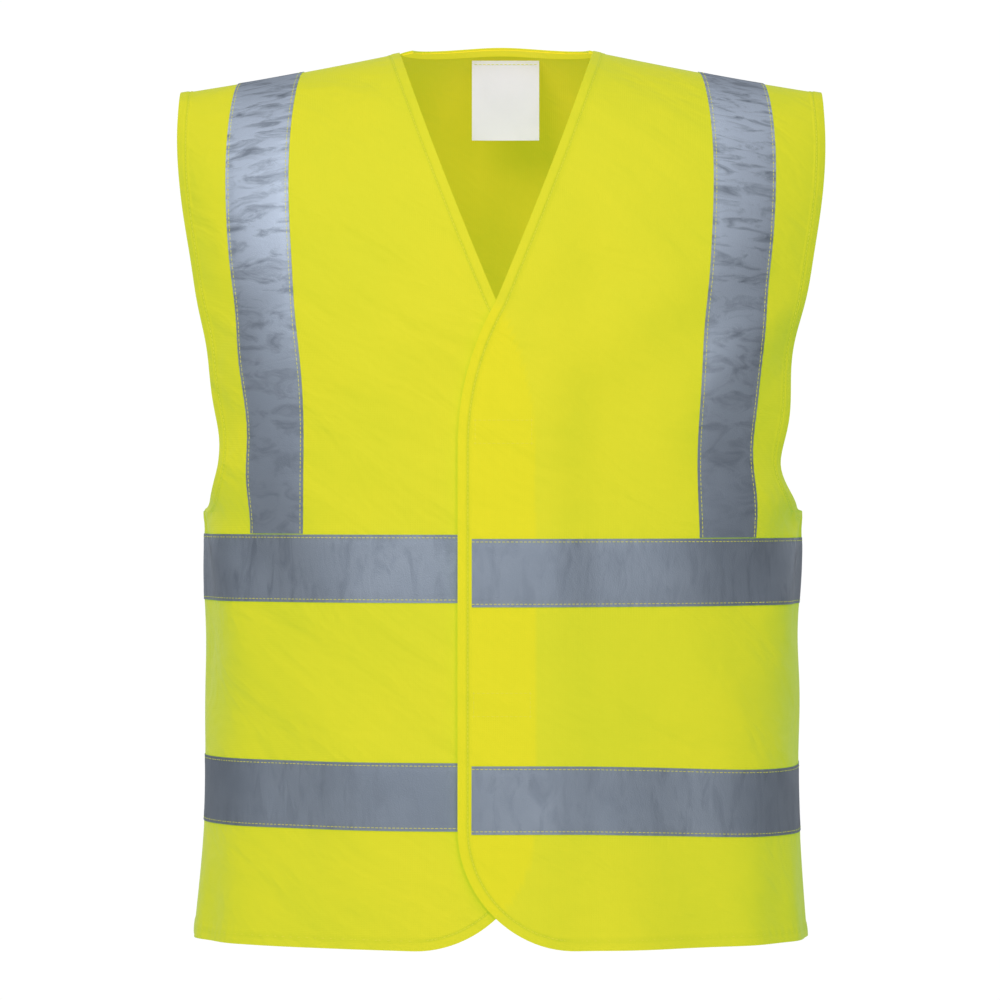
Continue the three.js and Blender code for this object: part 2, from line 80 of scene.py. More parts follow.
# Outlines.
UNDERARM_HEIGHT = 0.322
ARMHOLE_SCOOP = 0.040
ARMHOLE_ANGLE = math.radians(67)
BACK_NECK_HALF_WIDTH = 0.067
BACK_NECK_DROP = 0.005
BACK_NECK_ROWS = (0.7, 1)
V_POINT_HEIGHT = 0.477
V_CURVE = 0.3
FRONT_NECK_HALF_WIDTH = 0.074
NECK_RISE = NECK_RIDGE_HEIGHT - V_POINT_HEIGHT
NECK_SLOPE = FRONT_NECK_HALF_WIDTH / NECK_RISE + V_CURVE * NECK_RISE
CLOSURE_X = -0.0035
OVERLAP = 0.028
LAP_BLEND = 0.110
LAP_SHARPNESS = 2.2
CORNER_WIDTH = 0.088
CORNER_HEIGHT = 0.090
LIFT_FROM_X = 0.075
LIFT_FULL_X = 0.032
LIFT_HEIGHTS = (0.500, 0.620)
LAP_LIFT = 0.0043

# Tapes.
TAPE_WIDTH = 0.050
UNDERARM_CLEARANCE = {"left": 0.0195, "right": 0.0165, "back": 0.018}
UPPER_TAPE = {name: UNDERARM_HEIGHT - gap - TAPE_WIDTH for name, gap in UNDERARM_CLEARANCE.items()}
LOWER_TAPE = {"left": 0.086, "right": 0.088, "back": 0.087}
LOWER_TAPE_DROOP = 0.006
DROOP_ANGLES = {FRONT: (0.1, 1.1), BACK: (0.9, 1.55)}
BAND_SETBACK = 0.0013
BRACE_START = 0.305
BRACE_ANGLE_LOW = math.radians(48)
BRACE_ANGLE_RIDGE = math.radians(41.5)
BRACE_CLEARANCE = 0.0006

# Hems, seams, patches and label.
HEM_WIDTH = 0.009
HEM_START = 0.0003
HEM_TOP_CLEARANCE = 0.003
SEAM_WIDTH = 0.012
SEAM_CLEARANCE = 0.0006
SIDE_HEM_END = math.pi / 2 - (SEAM_WIDTH / 2 + SEAM_CLEARANCE) / CHEST_HALF_WIDTH
SHOULDER_RIB_X = (0.079, 0.232)
RIB_RIPPLE = 0.0002
RIPPLE_PITCH = 0.004
PATCH_LENGTH = 0.044
PATCH_WIDTH = 0.020
PATCH_SETBACK = 0.0012
PATCH_HEIGHTS = {"upper": 0.381, "lower": 0.181}
LABEL_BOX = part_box("neck_label")
LABEL_THICKNESS = 0.0005
LABEL_BOW = 0.0022
LABEL_CURL = 0.0009

# Layers, as offsets from the torso surface.
KNIT = (0.0001, 0.0006)
HEM_LAYER = (-0.0007, -0.0001)
TAPE_LAYER = (0.0008, 0.00112)
LOOP_LAYER = (0.0008, 0.0018)
HOOK_LAYER = (LAP_LIFT - 0.0013, LAP_LIFT - 0.0003)
SEAM_LAYER = (-0.0019, -0.0009)
HEM_RELIEF = 0.0008
HEM_SLOPE = 0.0012
GROOVE = 0.0006
TAPE_GROOVE = 0.00018
GROOVE_REACH = 0.0010

# Stitching.
STITCH_PITCH = 0.0032
STITCH_LENGTH = 0.0026
STITCH_INSET = 0.0022
THREAD_RADIUS = 0.00026
THREAD_SINK = 0.0001
HEM_STITCH = HEM_WIDTH - 0.0016
PATCH_STITCH = 0.0015
BAND_STITCH_START = 0.0023
SHOULDER_STITCH_X = (0.080, 0.238)
SHOULDER_STITCH = 0.002
LABEL_STITCH = 0.003
ON_KNIT = KNIT[1] + HEM_RELIEF - GROOVE + THREAD_SINK
ON_TAPE = TAPE_LAYER[1] - THREAD_SINK

# Broad drapes: whole waves round the body, waves per metre upwards, phase and depth.
DRAPES = [(2, 1.1, 0.4, 0.0013), (5, 0.7, 2.1, 0.0014), (9, 1.6, 4.0, 0.0010), (14, 2.3, 1.2, 0.0005)]
FOLDS_FADE = (0.60, RIDGE - 0.04)
LOOSE_HEIGHT = 0.30
LAP_STILL_ANGLE = 0.16
LAP_STILLNESS = 0.8

# Smaller folds. Those of chest and belly are height, reach and depth.
CHEST_FOLDS = (0.43, 0.09, 0.0016)
BELLY_FOLDS = (0.19, 0.07, 0.0013)
HEM_FOLD_HEIGHT = 0.10
HEM_FOLD_DEPTH = 0.0012
UNDERARM_FOLD_ANGLE = 1.40
UNDERARM_FOLD_HEIGHT = 0.33
UNDERARM_FOLD_RADIUS = 0.17
UNDERARM_FOLD_REACH = 0.07
UNDERARM_FOLD_DEPTH = 0.0024
SIDE_TUCK = 0.004
SIDE_TUCK_ANGLE = 0.5
SIDE_TUCK_HEIGHTS = (0.10, 0.31, 0.37)
PUCKER_PITCH = 0.0085
PUCKER_REACH = 0.0045
PUCKER_DEPTH = 0.00022

# Colours.
WARM_YELLOW, COOL_YELLOW = (0.69, 0.405, 0.012), (0.62, 0.385, 0.012)
# The doubled colour is painted light where the fronts overlap.
# The groove colour is painted shade along the stitched hems.
DOUBLED_LIT_YELLOW, GROOVE_SHADE_YELLOW = (0.72, 0.415, 0.006), (0.53, 0.32, 0.008)
WARM_THREAD, COOL_THREAD = (0.74, 0.42, 0.05), (0.70, 0.40, 0.05)
DEEP_PILE, BRIGHT_PILE = (0.50, 0.33, 0.010), (0.62, 0.38, 0.012)
# Painted light: steady glows on the knit, thread and pile, which lift them and turn them greener where they
# lie in shade.
KNIT_PAINTED_GLOW, INNER_PAINTED_GLOW = (0.05, 0.30, 0.006), (0.18, 0.28, 0.010)
BINDING_PAINTED_GLOW = (0.36, 0.42, 0.012)
TAPE_GREY, TAPE_PALE_GREY = (0.205, 0.244, 0.306), (0.268, 0.312, 0.382)
# The shoulder grey is a painted highlight and the crease grey is painted shade.
TAPE_TOP_HIGHLIGHT_GREY, TAPE_CREASE_SHADE_GREY = (0.47, 0.54, 0.66), (0.205, 0.242, 0.303)
LABEL_SHADE, LABEL_WHITE = (0.72, 0.675, 0.80), (0.76, 0.71, 0.84)

# Studio: name, place, size, watts and target of each softbox.
SOFTBOXES = [
    ("key_softbox", (-0.9, -2.4, 1.0), 1.3, 39, (0, 0, -0.14)),
    ("fill_softbox", (0.8, -3.1, 0.4), 1.6, 20, (0, 0, -0.3)),
    ("top_softbox", (0.1, -1.5, 2.1), 1.4, 26, (0, 0, 0)),
    ("left_back_softbox", (2.2, 2.2, 0.7), 1.6, 26, (0, 0, -0.3)),
    ("right_back_softbox", (-2.2, 2.2, 0.7), 1.6, 26, (0, 0, -0.3)),
]
BACKDROP_LIGHT = 0.12
BACKDROP_SEEN = 0.90
CAMERA_DISTANCE = 3.0
CAMERA_X = -0.0008
CAMERA_HEIGHT = 0.331
CAMERA_LENS = 141
FLOOR_DROP = 0.36
FLOOR_RADIUS = 2.0
FLOOR_GLOW = 0.12


def smooth(start, end, value):
    share = np.clip((value - start) / (end - start), 0, 1)
    return share * share * (3 - 2 * share)


def mix(start, end, share):
    return start + (end - start) * share


# ---------------------------------------------------------------- torso surface

def turn_at(v):
    return np.maximum(0, (v - FALL_HEIGHT) / TURN_RISE)


def height_at(v):
    """v runs up the cloth: the height below FALL_HEIGHT, and round the shoulder above it."""
    return np.where(v < FALL_HEIGHT, v, FALL_HEIGHT + TURN_RISE * np.sin(turn_at(v)))


def v_at_height(height):
    rise = np.clip((height - FALL_HEIGHT) / TURN_RISE, 0, 1)
    return height if height < FALL_HEIGHT else FALL_HEIGHT + TURN_RISE * math.asin(rise)


def half_width(v):
    height = height_at(v)
    flare = (HEM_HALF_WIDTH - CHEST_HALF_WIDTH) * np.clip(1 - height / FLARE_HEIGHT, 0, 1) ** 2
    shoulder = SHOULDER_HALF_WIDTH - CHEST_HALF_WIDTH
    return CHEST_HALF_WIDTH + flare + shoulder * smooth(UNDERARM_HEIGHT, CARRY_HEIGHT, height)


def torso(theta, v, side):
    """Points of the bare torso surface, at angle theta from the middle of the front or back."""
    x = half_width(v) * np.sin(theta)
    turn = turn_at(v)
    out = np.hypot(x, RIDGE_SOFTNESS) - RIDGE_SOFTNESS
    ridge = NECK_RIDGE_HEIGHT - RIDGE_SLOPE * out + RIDGE_CURVE * out * out
    z = np.where(turn > 0, FALL_HEIGHT + (ridge - FALL_HEIGHT) * np.sin(turn), v)
    c = np.cos(theta)
    bulge = np.sign(c) * np.abs(c) ** SIDE_ROUNDNESS
    return np.stack([x, side * HALF_DEPTH * bulge * np.cos(turn), z + HEM_Z], -1)


def slopes(theta, v, side):
    """How the surface point moves with theta and with v."""
    step = 1e-5
    across = (torso(theta + step, v, side) - torso(theta - step, v, side)) / (2 * step)
    up = (torso(theta, v + step, side) - torso(theta, v - step, side)) / (2 * step)
    return across, up


def outward(theta, v, side):
    across, up = slopes(theta, v, side)
    n = np.cross(across, up) * -side
    return n / np.linalg.norm(n, axis=-1, keepdims=True)


def angle_at(x, v):
    return np.arcsin(np.clip(x / half_width(v), -1, 1))


def brace_angle(v):
    """The middle of a brace tape, and the angle that half its width takes up."""
    share = np.clip((v - BRACE_START) / (RIDGE - BRACE_START), 0, 1)
    middle = mix(BRACE_ANGLE_LOW, BRACE_ANGLE_RIDGE, share)
    across, _ = slopes(middle, v, FRONT)
    return middle, TAPE_WIDTH / 2 / np.linalg.norm(across, axis=-1)


# ---------------------------------------------------------------- soft folds of the cloth

def pucker(distance, run):
    """Small gathers across a row of stitching."""
    wave = np.sin(run * 2 * math.pi / PUCKER_PITCH + 1.7 * np.sin(run * 37) + np.sin(run * 91))
    return PUCKER_DEPTH * wave * np.exp(-(distance / PUCKER_REACH) ** 2)


def tape_droop(theta, side):
    """The left front's lower tape falls a little towards the side."""
    return -LOWER_TAPE_DROOP * smooth(*DROOP_ANGLES[side], theta)


def tape_lows(side):
    """Lower edges of the two bands, as functions of theta."""
    left, right = ("back", "back") if side == BACK else ("left", "right")
    upper = lambda theta: np.where(theta > 0, UPPER_TAPE[left], UPPER_TAPE[right])
    lower = lambda theta: np.where(theta > 0, LOWER_TAPE[left], LOWER_TAPE[right]) + tape_droop(theta, side)
    return upper, lower


def low_of(low, hand):
    """A band's lower edge, with its own front's value where it crosses the middle."""
    return lambda theta: low(np.where(theta * hand > 0, theta, hand * 1e-6))


def folds(theta, v, side):
    """How far the cloth stands out from the bare torso surface."""
    around = theta if side == FRONT else math.pi - theta
    depth = drapes(around, v) + armhole_folds(theta, v) + waist_folds(around, v)
    lap = 1 - LAP_STILLNESS * np.exp(-(theta / LAP_STILL_ANGLE) ** 2) * (side == FRONT)
    depth = depth * (1 - smooth(*FOLDS_FADE, v)) * lap - side_tuck(theta, v)
    return depth + band_gathers(theta, v, side, around * CHEST_HALF_WIDTH) + brace_gathers(theta, v)


def drapes(around, v):
    """Broad folds, looser towards the hem."""
    hang = 0.7 + 0.6 * smooth(LOOSE_HEIGHT, 0.0, v)
    return sum(a * np.sin(n * around + k * v * 2 * math.pi + p) for n, k, p, a in DRAPES) * hang


def band_gathers(theta, v, side, run):
    """Gathers along the stitching of the bottom hem and of both bands."""
    depth = pucker(v - HEM_WIDTH + 0.001, run)
    for low in tape_lows(side):
        for edge in (STITCH_INSET, TAPE_WIDTH - STITCH_INSET):
            depth = depth + pucker(v - low(theta) - edge, run)
    return depth


def brace_gathers(theta, v):
    """Gathers along the stitching of the braces."""
    middle, half = brace_angle(v)
    across = (np.abs(theta) - middle) / half * TAPE_WIDTH / 2
    row = TAPE_WIDTH / 2 - STITCH_INSET
    band_top = UPPER_TAPE["back"] + TAPE_WIDTH
    return (pucker(across - row, v) + pucker(across + row, v)) * smooth(band_top, band_top + 0.01, v)


def side_tuck(theta, v):
    """The right side hangs a little closer to the body between underarm and hem."""
    near = np.exp(-((theta + math.pi / 2) / SIDE_TUCK_ANGLE) ** 2)
    full, fading, gone = SIDE_TUCK_HEIGHTS
    return SIDE_TUCK * near * smooth(0.0, full, v) * (1 - smooth(fading, gone, v))


def armhole_folds(theta, v):
    """Soft folds that fan out from each underarm."""
    run = (UNDERARM_FOLD_ANGLE - np.abs(theta)) * UNDERARM_FOLD_RADIUS
    rise = v - UNDERARM_FOLD_HEIGHT
    away = np.hypot(run, rise) + 1e-6
    fan = np.arctan2(rise, run + 0.02)
    wave = np.sin(fan * 7 + 14 * away + np.sign(theta) * 0.8)
    return wave * fold_belt(away, UNDERARM_FOLD_REACH, UNDERARM_FOLD_REACH, UNDERARM_FOLD_DEPTH)


def fold_belt(at, middle, reach, depth):
    """Depth of a belt of folds, which fades on both sides of its middle."""
    return depth * np.exp(-((at - middle) / reach) ** 2)


def waist_folds(around, v):
    """Shallow slanting folds over the chest and between the bands, and waves along the hem."""
    chest = np.sin(around * 11 - v * 34 + 1.3 * np.sin(v * 19)) * fold_belt(v, *CHEST_FOLDS)
    belly = np.sin(around * 8 + v * 41 + 0.6) * fold_belt(v, *BELLY_FOLDS)
    hem = np.sin(around * 17 + 1.1 * np.sin(around * 5)) * smooth(HEM_FOLD_HEIGHT, 0.0, v)
    return chest + belly + HEM_FOLD_DEPTH * hem


def lap_lift(theta, v):
    x = half_width(v) * np.sin(theta)
    near = 1 - smooth(LIFT_FULL_X, LIFT_FROM_X, x)
    return LAP_LIFT * near * (1 - smooth(*LIFT_HEIGHTS, height_at(v)))


def on_cloth(theta, v, side, offset, lifted=False):
    """Points of the folded cloth at an offset from it."""
    rise = folds(theta, v, side) + offset
    if lifted:
        rise = rise + lap_lift(theta, v)
    return torso(theta, v, side) + outward(theta, v, side) * np.asarray(rise)[..., None]


# ---------------------------------------------------------------- outlines

def front_lap(height):
    height = np.asarray(height, float)
    fall = np.clip((CORNER_HEIGHT - height) / CORNER_HEIGHT, 0, 1)
    corner = OVERLAP - CORNER_WIDTH * (1 - np.sqrt(1 - fall * fall))
    above = height - V_POINT_HEIGHT
    lap = OVERLAP * (1 - np.clip(1 + above / LAP_BLEND, 0, 1) ** LAP_SHARPNESS)
    neck = -(NECK_SLOPE * above - V_CURVE * above * above)
    return np.where(height < CORNER_HEIGHT, corner, np.where(above < 0, lap, neck))


def front_edge_x(hand, v):
    return CLOSURE_X - hand * front_lap(height_at(v))


def lap_angle(hand, distance, v=0.0):
    """The angle at a distance in from the straight part of a front's edge."""
    return float(angle_at(CLOSURE_X - hand * (OVERLAP - distance), v))


def armhole_angle(v):
    below = np.clip((UNDERARM_HEIGHT + ARMHOLE_SCOOP - v) / ARMHOLE_SCOOP, 0, 1)
    scoop = (math.pi / 2 - ARMHOLE_ANGLE) * np.sqrt(1 - below * below)
    return math.pi / 2 - np.where(v <= UNDERARM_HEIGHT, 0, scoop)


def front_edge_path(hand, start=0.0, end=RIDGE, count=420):
    """The front edge from the hem round the corner and up the neckline, as theta and v."""
    corner = CORNER_HEIGHT * (1 - np.cos(np.linspace(0, math.pi / 2, 90)))
    v = np.concatenate([corner, np.linspace(CORNER_HEIGHT, RIDGE, count)[1:]])
    v = v[(v >= start) & (v <= end)]
    return angle_at(front_edge_x(hand, v), v), v


def armhole_path(hand, count=160):
    around = np.linspace(0.0, math.pi / 2, 60)
    theta = math.pi / 2 - (math.pi / 2 - ARMHOLE_ANGLE) * np.sin(around)
    v = UNDERARM_HEIGHT + ARMHOLE_SCOOP * (1 - np.cos(around))
    up = np.linspace(UNDERARM_HEIGHT + ARMHOLE_SCOOP, RIDGE, count)[1:]
    theta = np.concatenate([theta, np.full(len(up), ARMHOLE_ANGLE)])
    return hand * theta, np.concatenate([v, up])


def back_neck_v(x):
    dip = np.sqrt(np.clip(1 - (x / BACK_NECK_HALF_WIDTH) ** 2, 0, 1))
    return mix(RIDGE, v_at_height(NECK_RIDGE_HEIGHT - BACK_NECK_DROP), dip)


def back_neck_path(count=120):
    x = BACK_NECK_HALF_WIDTH * np.sin(np.linspace(-math.pi / 2, math.pi / 2, count))
    v = back_neck_v(x)
    return angle_at(x, v), v


def inset(theta, v, side, distance, turn=1):
    """Moves a path sideways over the cloth by a true distance."""
    across, up = slopes(theta, v, side)
    run = np.gradient(torso(theta, v, side), axis=0)
    run = run / np.linalg.norm(run, axis=-1, keepdims=True)
    inward = np.cross(outward(theta, v, side), run) * turn * distance
    a = (across * across).sum(-1)
    b = (across * up).sum(-1)
    c = (up * up).sum(-1)
    p = (across * inward).sum(-1)
    q = (up * inward).sum(-1)
    det = a * c - b * b
    return theta + (c * p - b * q) / det, v + (a * q - b * p) / det


def resample(points, pitch):
    """Evenly spaced shares along a polyline of 3-D points."""
    steps = np.linalg.norm(np.diff(points, axis=0), axis=1)
    length = np.concatenate([[0], np.cumsum(steps)])
    count = max(2, int(length[-1] / pitch) + 1)
    return np.interp(np.linspace(0, length[-1], count), length, np.arange(len(points)))


def along(values, shares):
    return np.interp(shares, np.arange(len(values)), values)


# ---------------------------------------------------------------- mesh making

def mesh_piece(name, points, faces, uv, material):
    mesh = bpy.data.meshes.new(name)
    mesh.from_pydata(points.tolist(), [], faces.tolist())
    layer = mesh.uv_layers.new(name="cloth")
    corners = np.empty(len(mesh.loops), np.int32)
    mesh.loops.foreach_get("vertex_index", corners)
    layer.data.foreach_set("uv", uv[corners].astype(np.float32).ravel())
    mesh.materials.append(material)
    piece = bpy.data.objects.new(name, mesh)
    bpy.context.scene.collection.objects.link(piece)
    finish_shading(piece)
    return piece


def finish_shading(piece):
    bpy.ops.object.select_all(action="DESELECT")
    piece.select_set(True)
    bpy.context.view_layer.objects.active = piece
    bpy.ops.object.shade_smooth_by_angle(angle=math.radians(50))
    piece.select_set(False)


def closed_sheet(name, inner, outer, uv, material):
    """A closed sheet between two grids of points."""
    rows, columns = inner.shape[:2]
    index = np.arange(rows * columns).reshape(rows, columns)
    cells = np.stack([index[:-1, :-1], index[:-1, 1:], index[1:, 1:], index[1:, :-1]], -1).reshape(-1, 4)
    rims = []
    for rim in (index[0], index[:, -1], index[-1][::-1], index[::-1, 0]):
        upper = rim + rows * columns
        rims.append(np.stack([rim[:-1], rim[1:], upper[1:], upper[:-1]], -1))
    faces = np.concatenate([cells[:, ::-1], cells + rows * columns, *rims])
    points = np.concatenate([inner.reshape(-1, 3), outer.reshape(-1, 3)])
    if signed_volume(points, faces) < 0:
        faces = faces[:, ::-1]
    flat_uv = uv.reshape(-1, 2)
    return mesh_piece(name, points, faces, np.concatenate([flat_uv, flat_uv]), material)


def signed_volume(points, faces):
    a, b, c, d = (points[faces[:, i]] for i in range(4))
    return ((a * np.cross(b, c)).sum() + (a * np.cross(c, d)).sum()) / 6


def lay(name, theta, v, side, layer, material, lifted=False, relief=0.0):
    """Lays a sheet on the cloth, from its grid of angles and heights."""
    inner = on_cloth(theta, v, side, layer[0], lifted)
    outer = on_cloth(theta, v, side, layer[1] + relief, lifted)
    uv = np.stack([theta * CHEST_HALF_WIDTH, v], -1)
    return closed_sheet(name, inner, outer, uv, material)


def edge_distance(theta, v, side, paths):
    points = torso(theta, v, side).reshape(-1, 3)
    edges = np.concatenate([torso(t, u, side) for t, u in paths])
    tree = KDTree(len(edges))
    for i, p in enumerate(edges):
        tree.insert(p, i)
    tree.balance()
    return np.array([tree.find(p)[2] for p in points]).reshape(theta.shape)


def hemmed(name, theta, v, side, paths, material, lifted=False):
    """A panel whose folded edges are thicker, with a groove where they are sewn down, and a mask of that
    groove for painted shade.
    """
    away = edge_distance(theta, v, side, paths)
    hem = HEM_RELIEF * (1 - smooth(HEM_WIDTH - HEM_SLOPE, HEM_WIDTH + HEM_SLOPE, away))
    groove = np.exp(-((away - HEM_STITCH) / GROOVE_REACH) ** 2)
    piece = lay(name, theta, v, side, KNIT, material, lifted, hem - GROOVE * groove)
    # Keeps the groove as a mask for the painted shade along the stitching.
    mark(piece, "sewn", groove)
    return piece


def mark(piece, name, values):
    """Stores a value for each point of a panel's grid, for its material."""
    attribute = piece.data.attributes.new(name, "FLOAT", "POINT")
    attribute.data.foreach_set("value", np.tile(values.ravel(), 2).astype(np.float32))


# ---------------------------------------------------------------- materials

def shader_group(name, label, value, outputs):
    """An empty effect with one named number, and its outputs."""
    group = bpy.data.node_groups.new(name, "ShaderNodeTree")
    socket = group.interface.new_socket(label, in_out="INPUT", socket_type="NodeSocketFloat")
    socket.default_value = value
    for output in outputs:
        group.interface.new_socket(output, in_out="OUTPUT", socket_type="NodeSocketFloat")
    given = group.nodes.new("NodeGroupInput").outputs[label]
    return group, given, group.nodes.new("NodeGroupOutput")


def feed(tree, value, socket):
    """Links a value to a socket, or sets the socket to a number or a colour."""
    if isinstance(value, bpy.types.NodeSocket):
        tree.links.new(value, socket)
    else:
        socket.default_value = (*value, 1) if isinstance(value, tuple) else value


def maths(tree, operation, first, second=0.0):
    node = tree.nodes.new("ShaderNodeMath")
    node.operation = operation
    feed(tree, first, node.inputs[0])
    feed(tree, second, node.inputs[1])
    return node.outputs[0]


def noise(tree, place, scale, detail, roughness=0.5, distortion=0.0):
    """A cloudy pattern from 0 to 1."""
    node = tree.nodes.new("ShaderNodeTexNoise")
    feed(tree, place, node.inputs["Vector"])
    feed(tree, scale, node.inputs["Scale"])
    node.inputs["Detail"].default_value = detail
    node.inputs["Roughness"].default_value = roughness
    node.inputs["Distortion"].default_value = distortion
    return node.outputs["Fac"]


def remap(tree, value, start, end, low=0.0, high=1.0):
    """Turns the values from start to end into values from low to high."""
    node = tree.nodes.new("ShaderNodeMapRange")
    limits = {"From Min": start, "From Max": end, "To Min": low, "To Max": high}
    for name, limit in limits.items():
        node.inputs[name].default_value = limit
    tree.links.new(value, node.inputs["Value"])
    return node.outputs["Result"]


def object_place(tree):
    return tree.nodes.new("ShaderNodeTexCoord").outputs["Object"]


def cloth_place(tree):
    """Place on the cloth in metres, across and up."""
    node = tree.nodes.new("ShaderNodeUVMap")
    node.uv_map = "cloth"
    return node.outputs["UV"]


def split(tree, vector):
    node = tree.nodes.new("ShaderNodeSeparateXYZ")
    tree.links.new(vector, node.inputs[0])
    return node.outputs


def crease_group():
    """Soft shallow creases of handled cloth, which run on a slant."""
    group, pitch, out = shader_group("soft_creases", "Creases per metre", 20.0, ["Height"])
    turned = group.nodes.new("ShaderNodeMapping")
    turned.vector_type = "TEXTURE"
    turned.inputs["Rotation"].default_value = (0, math.radians(34), 0)
    turned.inputs["Scale"].default_value = (2.2, 1.0, 0.7)
    group.links.new(object_place(group), turned.inputs["Vector"])
    creases = noise(group, turned.outputs[0], pitch, 3.0, 0.5, 0.4)
    group.links.new(creases, out.inputs["Height"])
    return group


def knit_group():
    """Fine knitted loops over the cloth: rows of wales crossed by courses, with a little yarn noise."""
    group, pitch, out = shader_group("knit_loops", "Stitches per metre", 1000.0, ["Height", "Shade"])
    scaled = group.nodes.new("ShaderNodeVectorMath")
    scaled.operation = "SCALE"
    group.links.new(cloth_place(group), scaled.inputs[0])
    group.links.new(pitch, scaled.inputs["Scale"])
    parts = split(group, scaled.outputs[0])
    wales = maths(group, "SINE", maths(group, "MULTIPLY", parts["X"], 2 * math.pi))
    half_step = maths(group, "MULTIPLY", wales, 0.8)
    courses = maths(group, "MULTIPLY", parts["Y"], 2 * math.pi)
    loops = maths(group, "SINE", maths(group, "ADD", courses, half_step))
    yarn = noise(group, scaled.outputs[0], 3.0, 2.0)
    body = maths(group, "ADD", maths(group, "MULTIPLY", wales, 0.25), maths(group, "MULTIPLY", loops, 0.25))
    height = maths(group, "ADD", body, maths(group, "MULTIPLY", yarn, 0.5))
    group.links.new(height, out.inputs["Height"])
    group.links.new(maths(group, "ADD", maths(group, "MULTIPLY", height, 0.3), 0.5), out.inputs["Shade"])
    return group


def handling_group():
    """Broad soft variation of tone over a finished piece."""
    group, pitch, out = shader_group("handling", "Patches per metre", 6.0, ["Mask"])
    cloud = noise(group, object_place(group), pitch, 4.0, 0.55)
    group.links.new(remap(group, cloud, 0.35, 0.65), out.inputs["Mask"])
    return group


def bead_group():
    """Glass bead grain, with faint creases that run across a tape."""
    group, pitch, out = shader_group("glass_beads", "Beads per metre", 900.0, ["Height", "Creases"])
    cloth = cloth_place(group)
    beads = group.nodes.new("ShaderNodeTexVoronoi")
    group.links.new(cloth, beads.inputs["Vector"])
    group.links.new(pitch, beads.inputs["Scale"])
    stretch = group.nodes.new("ShaderNodeMapping")
    stretch.inputs["Scale"].default_value = (85, 30, 1)
    group.links.new(cloth, stretch.inputs["Vector"])
    creases = noise(group, stretch.outputs[0], 1.0, 5.0, 0.6, 0.8)
    grain = maths(group, "MULTIPLY", beads.outputs["Distance"], 0.25)
    group.links.new(maths(group, "ADD", grain, creases), out.inputs["Height"])
    group.links.new(creases, out.inputs["Creases"])
    return group


KNIT_LOOPS, HANDLING = knit_group(), handling_group()
GLASS_BEADS, CREASES = bead_group(), crease_group()


def use_group(tree, group, value):
    node = tree.nodes.new("ShaderNodeGroup")
    node.node_tree = group
    node.inputs[0].default_value = value
    return node


def blend_colours(tree, mask, first, second, how="MIX"):
    node = tree.nodes.new("ShaderNodeMix")
    node.data_type = "RGBA"
    node.blend_type = how
    feed(tree, mask, node.inputs["Factor"])
    feed(tree, first, node.inputs[6])
    feed(tree, second, node.inputs[7])
    return node.outputs[2]


def bump(tree, shader, height, strength, distance):
    node = tree.nodes.new("ShaderNodeBump")
    node.inputs["Strength"].default_value = strength
    node.inputs["Distance"].default_value = distance
    tree.links.new(height, node.inputs["Height"])
    under = shader.inputs["Normal"].links
    if under:
        tree.links.new(under[0].from_socket, node.inputs["Normal"])
    tree.links.new(node.outputs["Normal"], shader.inputs["Normal"])


def new_material(name, roughness, sheen=0.0):
    material = bpy.data.materials.new(name)
    material.use_nodes = True
    tree = material.node_tree
    shader = tree.nodes["Principled BSDF"]
    shader.inputs["Roughness"].default_value = roughness
    shader.inputs["Sheen Weight"].default_value = sheen
    return material, tree, shader


def glow_with(shader, colour, strength=1.0):
    shader.inputs["Emission Color"].default_value = (*colour, 1)
    shader.inputs["Emission Strength"].default_value = strength


def shade_by(tree, name, colour, other):
    """Turns a colour into another one where a piece's attribute says so."""
    mask = tree.nodes.new("ShaderNodeAttribute")
    mask.attribute_name = name
    return blend_colours(tree, mask.outputs["Fac"], colour, other)


def knit_material(name, warm, cool, glow, panel=False):
    """Fluorescent polyester knit, with painted light: a steady glow that stands in for its fluorescence and
    lifts it in shade.
    """
    material, tree, shader = new_material(name, 0.78, 0.15)
    shader.inputs["Specular IOR Level"].default_value = 0.25
    tone = use_group(tree, HANDLING, 4.0).outputs["Mask"]
    colour = blend_colours(tree, tone, warm, cool)
    if panel:
        # Painted light: lighter where the fronts lie doubled.
        colour = shade_by(tree, "doubled", colour, DOUBLED_LIT_YELLOW)
        # Painted shade: darker in the stitched groove of each hem.
        colour = shade_by(tree, "sewn", colour, GROOVE_SHADE_YELLOW)
    loops = use_group(tree, KNIT_LOOPS, 760.0)
    colour = blend_colours(tree, 0.10, colour, loops.outputs["Shade"], "MULTIPLY")
    tree.links.new(colour, shader.inputs["Base Color"])
    glow_with(shader, glow)
    bump(tree, shader, use_group(tree, CREASES, 20.0).outputs["Height"], 1.0, 0.005)
    bump(tree, shader, loops.outputs["Height"], 0.25, 0.0003)
    return material


def tape_material():
    """Glass bead tape, with a painted highlight that grows up the shoulders and painted shade along its
    creases.
    """
    material, tree, shader = new_material("reflective_tape", 0.5)
    shader.inputs["Metallic"].default_value = 0.6
    beads = use_group(tree, GLASS_BEADS, 1300.0)
    creases = beads.outputs["Creases"]
    tone = use_group(tree, HANDLING, 9.0).outputs["Mask"]
    colour = blend_colours(tree, tone, TAPE_GREY, TAPE_PALE_GREY)
    # Painted highlight: the tape is lighter the higher it lies, where light from above catches it.
    rise = remap(tree, split(tree, object_place(tree))["Z"], -0.36, -0.02)
    colour = blend_colours(tree, rise, colour, TAPE_TOP_HIGHLIGHT_GREY)
    # Painted shade: darker along the tape's creases.
    colour = blend_colours(tree, remap(tree, creases, 0.30, 0.52), TAPE_CREASE_SHADE_GREY, colour)
    tree.links.new(colour, shader.inputs["Base Color"])
    tree.links.new(remap(tree, creases, 0.0, 1.0, 0.42, 0.60), shader.inputs["Roughness"])
    bump(tree, shader, beads.outputs["Height"], 0.4, 0.0007)
    return material


